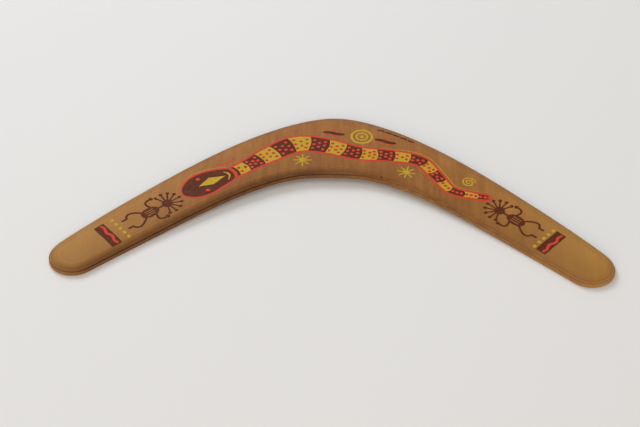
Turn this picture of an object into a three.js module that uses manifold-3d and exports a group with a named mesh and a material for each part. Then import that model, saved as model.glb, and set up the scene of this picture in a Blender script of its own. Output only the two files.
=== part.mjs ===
// A two-armed boomerang sawn from five-ply board, bevelled all round and painted on its face.
// Millimetres, +Z up. The elbow points to +Y, the arms spread along X and the painted face looks up.
// The origin is under the middle of the outline, on the surface that the tips and the elbow's back rest on.

import * as THREE from "three";
import { mergeVertices } from "three/addons/utils/BufferGeometryUtils.js";
import Module from "manifold-3d";

const wasm = await Module();
wasm.setup();

// Outline
const tipReach = 209; // from the middle to the root of each rounded tip, along X
const tipDrop = 176; // from the elbow's back edge down to the tip roots, along Y
const tipPitch = 46; // how far each arm has turned down from X at its tip root, degrees
const tipTaper = 6.3; // how far each edge leans in on the arm's own line there, degrees
const tipWidth = 39; // across a tip root
const elbowWidth = 78; // across the elbow, on the middle line
const backElbowPull = 71; // how long each edge keeps its heading, at the elbow and at the tip root
const backTipPull = 12;
const frontElbowPull = 32;
const frontTipPull = 180;
const noseBackPull = 29; // the same for the rounded nose, at its back and front corners
const noseFrontPull = 22.5;

// Board
const veneerThickness = 1.3;
const glueThickness = 0.125;
const upperBevelWidth = 8;
const upperBevelPlies = 2; // the upper bevel runs out through this many veneers
const upperBevelRound = 2; // 1 is a straight bevel, more rounds it over
const lowerBevelWidth = 1.2;
const lowerBevelDepth = 1;
const warpRise = 5; // how far old age has lifted the front of the elbow off the table
const tipFlat = 44; // the length inside each tip root that has stayed flat

// Paint
const coatThickness = 0.12;
const coatClearance = 0.1; // under each coat, so that it never cuts the surface it lies on
const outlineWidth = 1.5; // the red line round the snake
const snakeHeadLength = 47;
const snakeHeadWidth = 27;
const snakeNeckWidth = 13;
const snakeBodyWidth = 20.5;
const snakeTailWidth = 5.5;
const snakeTailRound = 5; // length of the rounded end of the tail
const neckRingLength = 2.4;
const bandPairs = 9; // yellow and brown bands, one pair after another
const bandShrink = 0.68; // length of the last band over that of a full one near the head
const bandGrowth = [0.6, 0.85]; // shares of a full length that the first bands have
const bandBow = 1.6; // how far each band's border bows towards the tail
const crescentStroke = 1.3;
const eyeRadius = 1.9;
const ringRadius = 9.9; // the target's outer ring
const ringStroke = 2;
const innerRingRadius = 5.5;
const innerRingStroke = 1.6;
const ringDotRadius = 1.7;
const starRadius = 8.75;
const starStroke = 1.1;
const spiralRadius = 6.8;
const spiralTurns = 2;
const spiralStroke = 1.4;
const dashLength = 20;
const dashStroke = 3;
const dashSway = 0.5;
const blockLength = 9.6;
const blockMargin = 0.2; // from a block's ends to the bevels
const waveStroke = 2.2;
const waveSway = 0.8;
const waveMargin = 0.65; // from the ends of the red wave to the block's own
const dotRadius = 1.75;
const dotsPerRow = 5;

// Figures: sizes along and across an arm
const faceRadius = 4.6;
const rayCount = 9;
const rayPitch = 28; // degrees between rays
const rayReach = 12;
const rayStroke = 1.4;
const rayTipRadius = 1.6;
const bodyStart = 8.5; // from the middle of the face
const bodyLength = 17;
const bodyWidth = 11.2;
const slotStroke = 0.8; // bare lines down the body
const slotPitch = 2.4;
const slotLength = 7.5;
const handReach = 14;
const handRadius = 1.8;
const legReach = 37;
const footLength = 4.5;
const footStroke = 2;
const figureStroke = 1.9;

// Layout of the paint
const blockFromTip = { left: 34.2, right: 39.8 }; // from the tip root to the middle of each block
const dotGap = { left: 6, right: 0.8 }; // bare face between a block and its dots
const figureGap = 3.6; // between the dots and the figure's feet
const headGap = 2.4; // between the left figure's rays and the snake's nose
const targetGap = 3.2; // these four are measured from the snake's red line
const leftStarGap = 1.4;
const rightStarGap = 2.2;
const spiralGap = 3.3;
const dashGap = { left: 4.6, right: 1.2 }; // between the target and the dash on each side

// Fineness
const stationPitch = 15.6; // between the stations along an arm
const noseSteps = 7; // stations round half a nose
const layerStrips = 2; // strips across the board on each layer
const paintedStrips = 6; // and on the face, which the paint has to follow closely
const stepsPerBand = 4;

const rad = THREE.MathUtils.degToRad;
const vec = (x, y) => new THREE.Vector2(x, y);
const heading = (degrees) => vec(Math.cos(rad(degrees)), -Math.sin(rad(degrees)));
const moved = (point, direction, length) => point.clone().addScaledVector(direction, length);

// Right half of the outline: two edges from the elbow to the tip root, and the nose that joins them.
const tipRoot = vec(tipReach, -tipDrop);
const rootAcross = heading(tipPitch - 90);
const backRoot = moved(tipRoot, rootAcross, tipWidth / 2);
const frontRoot = moved(tipRoot, rootAcross, -tipWidth / 2);
const backHeading = heading(tipPitch + tipTaper);
const frontHeading = heading(tipPitch - tipTaper);

const backEdge = new THREE.CubicBezierCurve(
  vec(0, 0),
  vec(backElbowPull, 0),
  moved(backRoot, backHeading, -backTipPull),
  backRoot,
);
const frontEdge = new THREE.CubicBezierCurve(
  vec(0, -elbowWidth),
  vec(frontElbowPull, -elbowWidth),
  moved(frontRoot, frontHeading, -frontTipPull),
  frontRoot,
);
const nose = new THREE.CubicBezierCurve(
  backRoot,
  moved(backRoot, backHeading, noseBackPull),
  moved(frontRoot, frontHeading, noseFrontPull),
  frontRoot,
);

const noseLow = Math.min(...nose.getSpacedPoints(100).map((point) => point.y));
const middleY = noseLow / 2; // the outline's middle, below the elbow's back edge

// A station pairs a point of the back edge with one of the front edge, each with its inward normal.
function edgePoint(curve, share, turn) {
  const tangent = curve.getTangentAt(share);
  return { point: curve.getPointAt(share), inward: vec(tangent.y, -tangent.x).multiplyScalar(turn) };
}

function halfStations() {
  const stations = [];
  const armSteps = Math.round(backEdge.getLength() / stationPitch);
  for (let i = 0; i <= armSteps; i++) {
    const share = i / armSteps;
    stations.push([edgePoint(backEdge, share, 1), edgePoint(frontEdge, share, -1)]);
  }
  for (let i = 1; i <= noseSteps; i++) {
    const share = i / noseSteps / 2;
    stations.push([edgePoint(nose, share, 1), edgePoint(nose, 1 - share, 1)]);
  }
  return stations;
}

const rightStations = halfStations();

// Evenly spaced points across each station, from the left tip to the right one, at one inset.
function crossPoints(inset, strips) {
  const right = rightStations.map(([back, front]) => {
    const backPoint = moved(back.point, back.inward, inset);
    const frontPoint = moved(front.point, front.inward, inset);
    const row = [];
    for (let i = 0; i <= strips; i++) row.push(backPoint.clone().lerp(frontPoint, i / strips));
    return row;
  });
  const left = right.slice(1).reverse();
  return [...left.map((row) => row.map((point) => vec(-point.x, point.y))), ...right];
}

// Height that the warp adds: none along the elbow's back and none near the tips.
const warpReach = tipReach - tipFlat;
function lift(x, y) {
  const share = Math.max(0, 1 - (x / warpReach) ** 2) ** 2;
  return (warpRise * share * (-middleY - y)) / elbowWidth;
}

const plyNames = [
  "back_veneer",
  "lower_cross_veneer",
  "core_veneer",
  "upper_cross_veneer",
  "face_veneer",
];
const plyPitch = veneerThickness + glueThickness;
const boardThickness = plyNames.length * plyPitch - glueThickness;
const shoulder = boardThickness - upperBevelPlies * plyPitch;

// How far the edge has been cut back at height z.
function edgeInset(z) {
  if (z < lowerBevelDepth) return lowerBevelWidth * (1 - z / lowerBevelDepth) ** 2;
  if (z < shoulder) return 0;
  return upperBevelWidth * ((z - shoulder) / (boardThickness - shoulder)) ** upperBevelRound;
}

const upperKnots = [0.28, 0.86].map((share) => shoulder + share * (boardThickness - shoulder));
const bevelKnots = [0.4 * lowerBevelDepth, lowerBevelDepth, ...upperKnots];

// One layer of the board between two heights, as a closed shell that follows outline, bevels and warp.
function layerGeometry(bottom, top, topStrips = layerStrips) {
  const knots = bevelKnots.filter((z) => z > bottom && z < top);
  const levels = [bottom, ...knots, top].map((z) =>
    crossPoints(edgeInset(z), z === top ? topStrips : layerStrips).map((row) =>
      row.map((point) => {
        const y = point.y - middleY;
        return new THREE.Vector3(point.x, y, z + lift(point.x, y));
      }),
    ),
  );
  const triangles = [];
  const quad = (a, b, c, d) => {
    triangles.push([a, b, c], [a, c, d]);
  };
  const [floor, roof] = [levels[0], levels.at(-1)];
  for (let i = 0; i + 1 < floor.length; i++) {
    for (let j = 0; j < layerStrips; j++) {
      quad(floor[i][j], floor[i + 1][j], floor[i + 1][j + 1], floor[i][j + 1]);
    }
    for (let j = 0; j < topStrips; j++) {
      quad(roof[i][j], roof[i][j + 1], roof[i + 1][j + 1], roof[i + 1][j]);
    }
    for (let k = 0; k + 1 < levels.length; k++) {
      const [low, high] = [levels[k], levels[k + 1]];
      quad(low[i + 1].at(0), low[i].at(0), high[i].at(0), high[i + 1].at(0));
      quad(low[i].at(-1), low[i + 1].at(-1), high[i + 1].at(-1), high[i].at(-1));
    }
  }
  // The stations narrow to a single point at each tip, where half of each quad has no area.
  const touching = (a, b) => a.distanceToSquared(b) < 1e-8;
  const real = triangles.filter(([a, b, c]) => !touching(a, b) && !touching(b, c) && !touching(c, a));
  const geometry = new THREE.BufferGeometry().setFromPoints(real.flat());
  geometry.computeVertexNormals();
  return geometry;
}

// Closed plane figures, as lists of points
function stroke(path, width, capSteps = 4) {
  const sides = path.map((point, i) => {
    const ahead = path[Math.min(i + 1, path.length - 1)];
    const behind = path[Math.max(i - 1, 0)];
    const tangent = ahead.clone().sub(behind).normalize();
    return { point, tangent, normal: vec(-tangent.y, tangent.x) };
  });
  const cap = (end, sign) => {
    const points = [];
    for (let i = 1; i < capSteps; i++) {
      const turn = (Math.PI * i) / capSteps;
      const sideways = moved(end.point, end.normal, (sign * Math.cos(turn) * width) / 2);
      points.push(moved(sideways, end.tangent, (sign * Math.sin(turn) * width) / 2));
    }
    return points;
  };
  return [
    ...sides.map((side) => moved(side.point, side.normal, width / 2)),
    ...cap(sides.at(-1), 1),
    ...sides.map((side) => moved(side.point, side.normal, -width / 2)).reverse(),
    ...cap(sides[0], -1),
  ];
}

function oval(centre, radiusX, radiusY, steps) {
  const points = [];
  for (let i = 0; i < steps; i++) {
    const turn = (2 * Math.PI * i) / steps;
    points.push(vec(centre.x + radiusX * Math.cos(turn), centre.y + radiusY * Math.sin(turn)));
  }
  return points;
}

const disc = (centre, radius, steps = 12) => oval(centre, radius, radius, steps);

function curvePath(from, bend, to, steps = 6) {
  return new THREE.QuadraticBezierCurve(from, bend, to).getPoints(steps);
}

// Places on the face. along runs from -1 at the left tip root to 1 at the right one, with the elbow at 0;
// across runs from -1 on the front edge to 1 on the back edge.
function facePoint(along, across) {
  const share = Math.abs(along);
  const point = frontEdge.getPointAt(share).lerp(backEdge.getPointAt(share), (across + 1) / 2);
  return vec(Math.sign(along) * point.x, point.y - middleY);
}

// How wide the flat of the face is at a station
function faceWidth(along) {
  const share = Math.abs(along);
  return backEdge.getPointAt(share).distanceTo(frontEdge.getPointAt(share)) - 2 * upperBevelWidth;
}

// The station that lies a length inside the tip root
const armLength = (backEdge.getLength() + frontEdge.getLength()) / 2;
const fromTip = (length) => 1 - length / armLength;

// A frame on one arm: u runs towards the tip and v towards the back edge.
function armFrame(along, across) {
  const share = Math.abs(along);
  const side = Math.sign(along);
  const tangent = backEdge.getTangentAt(share).add(frontEdge.getTangentAt(share)).normalize();
  const uAxis = vec(side * tangent.x, tangent.y);
  const vAxis = vec(-side * tangent.y, tangent.x);
  const origin = facePoint(along, across);
  return (u, v) => moved(moved(origin, uAxis, u), vAxis, v);
}

// Paint: flat figures given a thickness, joined where they overlap, and laid on the warped face.
function flatSolid(outline, holes = []) {
  const shape = new THREE.Shape(outline);
  shape.holes = holes.map((hole) => new THREE.Path(hole));
  const geometry = new THREE.ExtrudeGeometry(shape, { depth: coatThickness, bevelEnabled: false });
  geometry.deleteAttribute("normal");
  geometry.deleteAttribute("uv");
  const merged = mergeVertices(geometry, 1e-4);
  return new wasm.Manifold(
    new wasm.Mesh({
      numProp: 3,
      vertProperties: merged.attributes.position.array,
      triVerts: new Uint32Array(merged.index.array),
    }),
  );
}

const coatBase = (coat) => boardThickness + coat * coatClearance + (coat - 1) * coatThickness;

function coatGeometry(solid, coat) {
  const mesh = solid.getMesh();
  const geometry = new THREE.BufferGeometry();
  geometry.setAttribute("position", new THREE.BufferAttribute(mesh.vertProperties, mesh.numProp));
  geometry.setIndex(new THREE.BufferAttribute(mesh.triVerts, 1));
  const position = geometry.attributes.position;
  for (let i = 0; i < position.count; i++) {
    const height = position.getZ(i) + coatBase(coat);
    position.setZ(i, height + lift(position.getX(i), position.getY(i)));
  }
  geometry.computeVertexNormals();
  return geometry;
}

// A band of paint between two anticlockwise loops that have the same number of points
function bandGeometry(outer, inner) {
  const raised = (loop, height) =>
    loop.map(({ x, y }) => new THREE.Vector3(x, y, coatBase(1) + height + lift(x, y)));
  const rings = [
    raised(outer, 0),
    raised(outer, coatThickness),
    raised(inner, coatThickness),
    raised(inner, 0),
  ];
  const corners = [];
  outer.forEach((point, i) => {
    const j = (i + 1) % outer.length;
    rings.forEach((ring, k) => {
      const next = rings[(k + 1) % rings.length];
      corners.push(ring[i], ring[j], next[j], ring[i], next[j], next[i]);
    });
  });
  const geometry = new THREE.BufferGeometry().setFromPoints(corners);
  geometry.computeVertexNormals();
  return geometry;
}

const paint = (color) => new THREE.MeshStandardMaterial({ color, roughness: 0.5, metalness: 0 });
const wood = (color) => new THREE.MeshStandardMaterial({ color, roughness: 0.45, metalness: 0 });
const brownPaint = paint(0x54291d);
const redPaint = paint(0xcc4238);
const yellowPaint = paint(0xc9b23a);
const faceWood = wood(0xa2733f);
const crossWood = wood(0xb98a4c);
const coreWood = wood(0x7a4a24);
const glueResin = wood(0x4a2a16);

const boomerang = new THREE.Group();

function add(name, geometry, material) {
  const mesh = new THREE.Mesh(geometry, material);
  mesh.name = name;
  boomerang.add(mesh);
}

function addPaint(name, outlines, material, { coat = 1, holes = [] } = {}) {
  const solids = outlines.map((outline) => flatSolid(outline));
  const whole = solids.reduce((sum, solid) => sum.add(solid));
  const open = holes.reduce((sum, hole) => sum.subtract(flatSolid(hole)), whole);
  add(name, coatGeometry(open, coat), material);
}

// The board: veneers whose grain runs along Y, with cross veneers and glue lines between them.
function addBoard() {
  const woods = [faceWood, crossWood, coreWood, crossWood, faceWood];
  plyNames.forEach((name, i) => {
    const bottom = i * plyPitch;
    const top = bottom + veneerThickness;
    const strips = i === plyNames.length - 1 ? paintedStrips : layerStrips;
    add(name, layerGeometry(bottom, top, strips), woods[i]);
    if (i + 1 < plyNames.length) {
      add("glue_line_" + (i + 1), layerGeometry(top, top + glueThickness), glueResin);
    }
  });
}

// What stands along each arm, from the tip inwards: block, dots, figure and the snake's own end
const dotsFromTip = (side) => blockFromTip[side] + blockLength / 2 + dotGap[side] + dotRadius;
const figureReach = legReach + footLength + footStroke / 4;
const figureFromTip = (side) => dotsFromTip(side) + dotRadius + figureGap + figureReach;
const headAlong = fromTip(figureFromTip("left") + rayReach + rayTipRadius + headGap);
const tailAlong = fromTip(figureFromTip("right") + rayReach);

// The snake: a waving centre line from the nose, on the left arm, to the tail, on the right one.
// Each point holds its share of the way out from the elbow to that end, and its place across the arm.
const snakeRoute = [
  [-1, -0.06],
  [-0.81, -0.09],
  [-0.64, -0.16],
  [-0.415, 0],
  [-0.23, 0.13],
  [-0.053, -0.07],
  [0.137, -0.26],
  [0.326, -0.08],
  [0.515, 0.17],
  [0.644, -0.1],
  [0.756, -0.36],
  [0.893, -0.12],
  [1, 0.2],
];
const snakeLine = new THREE.SplineCurve(
  snakeRoute.map(([out, across]) => facePoint(out * (out < 0 ? headAlong : tailAlong), across)),
);
const snakeLength = snakeLine.getLength();
const firstBand = snakeHeadLength + 2 * neckRingLength;
const headLean = 0.85; // under 1, the head is widest behind its middle
const headFullness = 0.7; // under 1, the head is fuller than a half sine
const grownShare = 0.25; // share of the body's length over which it reaches its full width

function snakeHalfWidth(distance) {
  if (distance < snakeHeadLength) {
    const share = distance / snakeHeadLength;
    const swell = Math.sin(Math.PI * share ** headLean) ** headFullness;
    return (swell * (snakeHeadWidth - snakeNeckWidth * share) + snakeNeckWidth * share) / 2;
  }
  const share = (distance - snakeHeadLength) / (snakeLength - snakeHeadLength);
  const grown = THREE.MathUtils.smoothstep(share, 0, grownShare);
  const thinned = Math.max(0, (share - grownShare) / (1 - grownShare));
  const width =
    snakeNeckWidth +
    (snakeBodyWidth - snakeNeckWidth) * grown -
    (snakeBodyWidth - snakeTailWidth) * thinned;
  const toEnd = Math.max(0, snakeLength - distance);
  const rounding = Math.min(1, toEnd / snakeTailRound);
  return (width / 2) * Math.sqrt(1 - (1 - rounding) ** 2);
}

// A point of the snake: side runs from -1 on its front edge to 1 on its back edge.
function snakePoint(distance, side, extra = 0) {
  const bowed = Math.min(snakeLength, distance + bandBow * (1 - side * side));
  const tangent = snakeLine.getTangentAt(bowed / snakeLength);
  const reach = side * (snakeHalfWidth(distance) + extra);
  return moved(snakeLine.getPointAt(bowed / snakeLength), vec(-tangent.y, tangent.x), reach);
}

function snakeBorder(distance) {
  return [1, 0.5, 0, -0.5, -1].map((side) => snakePoint(distance, side));
}

function snakeStretch(from, to, steps) {
  const inside = [];
  for (let i = 1; i < steps; i++) inside.push(from + ((to - from) * i) / steps);
  const start = from > 0 ? snakeBorder(from).reverse() : [snakeLine.getPointAt(0)];
  const end = to < snakeLength ? snakeBorder(to) : [snakeLine.getPointAt(1)];
  return [
    ...start,
    ...inside.map((distance) => snakePoint(distance, 1)),
    ...end,
    ...inside.map((distance) => snakePoint(distance, -1)).reverse(),
  ];
}

// Distances of the borders between bands: their lengths grow behind the neck, then shrink to the tail.
function bandBorders() {
  const count = 2 * bandPairs;
  const lengths = [];
  for (let i = 0; i < count; i++) {
    lengths.push((bandGrowth[i] ?? 1) * (1 + ((bandShrink - 1) * i) / (count - 1)));
  }
  const total = lengths.reduce((sum, length) => sum + length);
  const borders = [firstBand];
  lengths.forEach((length) => {
    borders.push(borders.at(-1) + (length / total) * (snakeLength - firstBand));
  });
  borders[count] = snakeLength;
  return borders;
}

function addSnake() {
  const headSteps = 12;
  const borders = bandBorders();
  const firstRingEnd = snakeHeadLength + neckRingLength;
  addPaint("snake_head", [snakeStretch(0, snakeHeadLength, headSteps)], brownPaint);
  addPaint("neck_ring_red", [snakeStretch(snakeHeadLength, firstRingEnd, 1)], redPaint);
  addPaint("neck_ring_brown", [snakeStretch(firstRingEnd, firstBand, 1)], brownPaint);
  for (let i = 0; i < 2 * bandPairs; i++) {
    const name = (i % 2 ? "brown_band_" : "yellow_band_") + (Math.floor(i / 2) + 1);
    const stretch = snakeStretch(borders[i], borders[i + 1], stepsPerBand);
    addPaint(name, [stretch], i % 2 ? brownPaint : yellowPaint);
  }

  // The red line round it follows the same stations, so that it meets every band edge to edge.
  const stations = [];
  for (let i = 1; i <= headSteps; i++) stations.push((snakeHeadLength * i) / headSteps);
  stations.push(firstRingEnd);
  for (let i = 0; i < 2 * bandPairs; i++) {
    for (let k = 0; k < stepsPerBand; k++) {
      stations.push(borders[i] + ((borders[i + 1] - borders[i]) * k) / stepsPerBand);
    }
  }
  const loop = (extra) => [
    moved(snakeLine.getPointAt(0), snakeLine.getTangentAt(0), -extra),
    ...stations.map((distance) => snakePoint(distance, 1, extra)),
    moved(snakeLine.getPointAt(1), snakeLine.getTangentAt(1), extra),
    ...stations.map((distance) => snakePoint(distance, -1, extra)).reverse(),
  ];
  const [outer, inner] = [loop(outlineWidth).reverse(), loop(0).reverse()];
  add("snake_outline", bandGeometry(outer, inner), redPaint);

  // Marks on the head: shares of its length and half width
  const onHead = (share, side) => snakePoint(snakeHeadLength * share, side);
  const [lozengeStart, lozengeMiddle, lozengeEnd, lozengeSide] = [0.3, 0.56, 0.84, 0.36];
  const [crescentEnds, crescentBend, crescentSide] = [0.86, 0.98, 0.55];
  const [eyeShare, eyeSide] = [0.4, 0.62];
  const lozenge = [
    onHead(lozengeStart, 0),
    onHead(lozengeMiddle, lozengeSide),
    onHead(lozengeEnd, 0),
    onHead(lozengeMiddle, -lozengeSide),
  ];
  addPaint("head_lozenge", [lozenge], yellowPaint, { coat: 2 });
  const bow = curvePath(
    onHead(crescentEnds, crescentSide),
    onHead(crescentBend, 0),
    onHead(crescentEnds, -crescentSide),
  );
  addPaint("head_crescent", [stroke(bow, crescentStroke)], yellowPaint, { coat: 2 });
  addPaint("back_eye", [disc(onHead(eyeShare, eyeSide), eyeRadius)], redPaint, { coat: 2 });
  addPaint("front_eye", [disc(onHead(eyeShare, -eyeSide), eyeRadius)], redPaint, { coat: 2 });
}

// A place beside the snake, a gap away from its red line; side is 1 behind it and -1 in front
function besideSnake(share, side, gap) {
  return snakePoint(share * snakeLength, side, outlineWidth + gap);
}

// Yellow target, stars and spiral round the snake
const targetCentre = besideSnake(0.5485, 1, targetGap + ringRadius);

function addTarget() {
  const ringSteps = 36;
  const ring = (radius, width) =>
    bandGeometry(disc(targetCentre, radius, ringSteps), disc(targetCentre, radius - width, ringSteps));
  add("target_outer_ring", ring(ringRadius, ringStroke), yellowPaint);
  add("target_inner_ring", ring(innerRingRadius, innerRingStroke), yellowPaint);
  addPaint("target_dot", [disc(targetCentre, ringDotRadius)], yellowPaint);
}

function addStar(name, centre, turn) {
  const reach = starRadius - starStroke / 2;
  const rays = [];
  for (let i = 0; i < 4; i++) {
    const direction = heading(turn + 45 * i);
    rays.push(stroke([moved(centre, direction, -reach), moved(centre, direction, reach)], starStroke));
  }
  addPaint(name, rays, yellowPaint);
}

function addSpiral(centre) {
  const steps = 40;
  const path = [];
  for (let i = 0; i <= steps; i++) {
    const turn = 360 * spiralTurns * (i / steps);
    const radius = spiralStroke / 2 + (spiralRadius - spiralStroke) * (i / steps);
    path.push(moved(centre, heading(turn), radius));
  }
  addPaint("spiral", [stroke(path, spiralStroke)], yellowPaint);
}

// A brown dash on each side of the target, turned a little to follow the arm
function addDash(side, turn) {
  const steps = 8;
  const sign = side === "left" ? -1 : 1;
  const towards = moved(targetCentre, heading(turn), sign * (ringRadius + dashGap[side] + dashLength / 2));
  const path = [];
  for (let i = 0; i <= steps; i++) {
    const sway = dashSway * Math.sin((2 * Math.PI * i) / steps);
    const length = (dashLength - dashStroke) * (i / steps - 0.5);
    path.push(moved(moved(towards, heading(turn), length), heading(turn - 90), sway));
  }
  addPaint(side + "_dash", [stroke(path, dashStroke)], brownPaint);
}

// A block near each tip, with a wavy line on it and a row of dots beside it
function addBlock(side, across, waveOffset) {
  const sign = side === "left" ? -1 : 1;
  const along = fromTip(blockFromTip[side]);
  const at = armFrame(sign * along, across);
  const blockWidth = faceWidth(along) - 2 * blockMargin;
  const [u, v] = [blockLength / 2, blockWidth / 2];
  addPaint(side + "_block", [[at(-u, -v), at(u, -v), at(u, v), at(-u, v)]], brownPaint);
  const steps = 20;
  const halfWaves = 5;
  const waveWidth = blockWidth - waveStroke - 2 * waveMargin;
  const path = [];
  for (let i = 0; i <= steps; i++) {
    const sway = waveSway * Math.sin((halfWaves * Math.PI * i) / steps);
    path.push(at(waveOffset + sway, waveWidth * (i / steps - 0.5)));
  }
  addPaint(side + "_wave", [stroke(path, waveStroke)], redPaint, { coat: 2 });
  const dotOffset = blockFromTip[side] - dotsFromTip(side);
  const dotPitch = (blockWidth - 2 * dotRadius) / (dotsPerRow - 1);
  for (let i = 0; i < dotsPerRow; i++) {
    const spot = at(dotOffset, dotPitch * (i - (dotsPerRow - 1) / 2));
    addPaint(side + "_dot_" + (i + 1), [disc(spot, dotRadius, 10)], yellowPaint);
  }
}

// A plain figure on each arm: a rayed face, an oval slotted body, two arms and two legs
function addFigure(side, across) {
  const sign = side === "left" ? -1 : 1;
  const at = armFrame(sign * fromTip(figureFromTip(side)), across);
  const bodyMiddle = bodyStart + bodyLength / 2;
  const parts = [disc(at(0, 0), faceRadius), stroke([at(0, 0), at(bodyMiddle, 0)], figureStroke)];
  for (let i = 0; i < rayCount; i++) {
    const turn = rad(180 + rayPitch * (i - (rayCount - 1) / 2));
    const end = at(rayReach * Math.cos(turn), rayReach * Math.sin(turn));
    parts.push(stroke([at(0, 0), end], rayStroke, 2), disc(end, rayTipRadius, 8));
  }
  parts.push(oval(vec(bodyMiddle, 0), bodyLength / 2, bodyWidth / 2, 16).map(({ x, y }) => at(x, y)));
  const shoulderAt = bodyStart + bodyLength / 4;
  const hipAt = bodyStart + (bodyLength * 4) / 5;
  const handAt = bodyStart - 0.5;
  for (const hand of [-1, 1]) {
    const palm = at(handAt, (handReach - 1) * hand);
    const elbow = at(bodyMiddle + 2, handReach * hand);
    const knee = at(legReach - 3, handReach * hand);
    const ankle = at(legReach, (bodyWidth / 2 - 0.5) * hand);
    const toe = at(legReach + footLength - footStroke / 4, (bodyWidth / 2 - 0.5) * hand);
    const arm = curvePath(at(shoulderAt, (bodyWidth / 4) * hand), elbow, palm);
    const leg = curvePath(at(hipAt, (bodyWidth / 4) * hand), knee, ankle);
    parts.push(stroke(arm, figureStroke), disc(palm, handRadius, 8));
    parts.push(stroke(leg, figureStroke), stroke([ankle, toe], footStroke, 3));
  }
  const slots = [-slotPitch, 0, slotPitch].map((v) => {
    const ends = [at(bodyMiddle - slotLength / 2, v), at(bodyMiddle + slotLength / 2, v)];
    return stroke(ends, slotStroke, 2);
  });
  addPaint(side + "_figure", parts, brownPaint, { holes: slots });
}

addBoard();
addSnake();
addTarget();
addStar("left_star", besideSnake(0.366, -1, leftStarGap + starRadius), 0);
addStar("right_star", besideSnake(0.715, -1, rightStarGap + starRadius), 12);
addSpiral(besideSnake(0.93, 1, spiralGap + spiralRadius));
addDash("left", 9);
addDash("right", 16);
addBlock("left", -0.08, -1.6);
addBlock("right", -0.12, 1.6);
addFigure("left", -0.09);
addFigure("right", -0.09);

export default boomerang;
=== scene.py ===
# A hand-painted plywood boomerang on a pale table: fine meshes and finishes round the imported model.
import bisect
import math

import bmesh
import bpy
from mathutils import Matrix, Vector, kdtree, noise
from mathutils.geometry import intersect_point_line, interpolate_bezier


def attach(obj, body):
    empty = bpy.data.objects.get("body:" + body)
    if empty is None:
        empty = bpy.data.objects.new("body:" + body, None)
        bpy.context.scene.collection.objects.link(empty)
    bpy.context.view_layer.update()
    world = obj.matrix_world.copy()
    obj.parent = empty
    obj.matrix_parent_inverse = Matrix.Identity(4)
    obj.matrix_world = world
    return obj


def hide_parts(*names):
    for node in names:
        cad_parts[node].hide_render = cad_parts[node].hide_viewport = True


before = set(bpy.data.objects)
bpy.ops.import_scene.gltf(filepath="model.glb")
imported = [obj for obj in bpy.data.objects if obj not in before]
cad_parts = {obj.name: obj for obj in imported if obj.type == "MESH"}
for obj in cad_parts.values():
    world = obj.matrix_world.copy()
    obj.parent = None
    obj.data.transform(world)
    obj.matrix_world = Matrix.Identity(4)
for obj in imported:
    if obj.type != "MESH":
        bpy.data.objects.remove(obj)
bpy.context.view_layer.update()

mm = 0.001


def inMillimetres(sizes):
    return {name: value * mm for name, value in sizes.items()}


def flat(x, y):
    return Vector((x, y, 0))


def heading(degrees):
    return flat(math.cos(math.radians(degrees)), -math.sin(math.radians(degrees)))


# Routes: a row of points with the length run up to each of them.
def routeOf(points):
    lengths = [0]
    for a, b in zip(points, points[1:]):
        lengths.append(lengths[-1] + (b - a).length)
    return points, lengths


def pointOn(route, share):
    points, lengths = route
    target = min(max(share, 0), 1) * lengths[-1]
    i = bisect.bisect_left(lengths, target, 1, len(lengths) - 1)
    part = (target - lengths[i - 1]) / (lengths[i] - lengths[i - 1])
    return points[i - 1].lerp(points[i], part)


def headingOn(route, share):
    step = 0.3 * mm / route[1][-1]
    return (pointOn(route, share + step) - pointOn(route, share - step)).normalized()


# The outline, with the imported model's own sizes.

outline = inMillimetres({
    "tipReach": 209,
    "tipDrop": 176,
    "tipWidth": 39,
    "elbowWidth": 78,
    "backElbowPull": 71,
    "backTipPull": 12,
    "frontElbowPull": 32,
    "frontTipPull": 180,
    "noseBackPull": 29,
    "noseFrontPull": 22.5,
})
tipPitch = 46  # degrees that each arm has turned down at its tip
tipTaper = 6.3  # degrees that each edge leans in on the arm there
edgeSteps = 400
searchPitch = 0.8 * mm

tipRoot = flat(outline["tipReach"], -outline["tipDrop"])
rootAcross = heading(tipPitch - 90)
backRoot = tipRoot + rootAcross * outline["tipWidth"] / 2
frontRoot = tipRoot - rootAcross * outline["tipWidth"] / 2
backHeading = heading(tipPitch + tipTaper)
frontHeading = heading(tipPitch - tipTaper)
elbowFront = flat(0, -outline["elbowWidth"])


def bezierRoute(start, startHandle, endHandle, end):
    return routeOf(interpolate_bezier(start, startHandle, endHandle, end, edgeSteps))


backEdge = bezierRoute(
    flat(0, 0),
    flat(outline["backElbowPull"], 0),
    backRoot - backHeading * outline["backTipPull"],
    backRoot,
)
frontEdge = bezierRoute(
    elbowFront,
    elbowFront + flat(outline["frontElbowPull"], 0),
    frontRoot - frontHeading * outline["frontTipPull"],
    frontRoot,
)
noseEdge = bezierRoute(
    backRoot,
    backRoot + backHeading * outline["noseBackPull"],
    frontRoot + frontHeading * outline["noseFrontPull"],
    frontRoot,
)
middleY = min(point.y for point in noseEdge[0]) / 2


def halfRim(pitch):  # the right half, from the elbow's back round the nose to the elbow's front
    rim = []
    for route, turn in ((backEdge, 1), (noseEdge, 1), (frontEdge, -1)):
        steps = round(route[1][-1] / pitch)
        shares = [i / steps for i in range(steps)]
        rim += [pointOn(route, share if turn > 0 else 1 - share) for share in shares]
    rim.append(elbowFront.copy())
    return [flat(point.x, point.y - middleY) for point in rim]


def treeOf(points):
    tree = kdtree.KDTree(len(points))
    for index, point in enumerate(points):
        tree.insert(point, index)
    tree.balance()
    return tree


rimPoints = halfRim(searchPitch)
rimPoints += [flat(-point.x, point.y) for point in rimPoints[-2:0:-1]]
rimTree = treeOf(rimPoints)
edgeTrees = []
for edge in (frontEdge, backEdge):
    edgeTrees.append(treeOf([flat(point.x, point.y - middleY) for point in edge[0]]))


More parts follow.
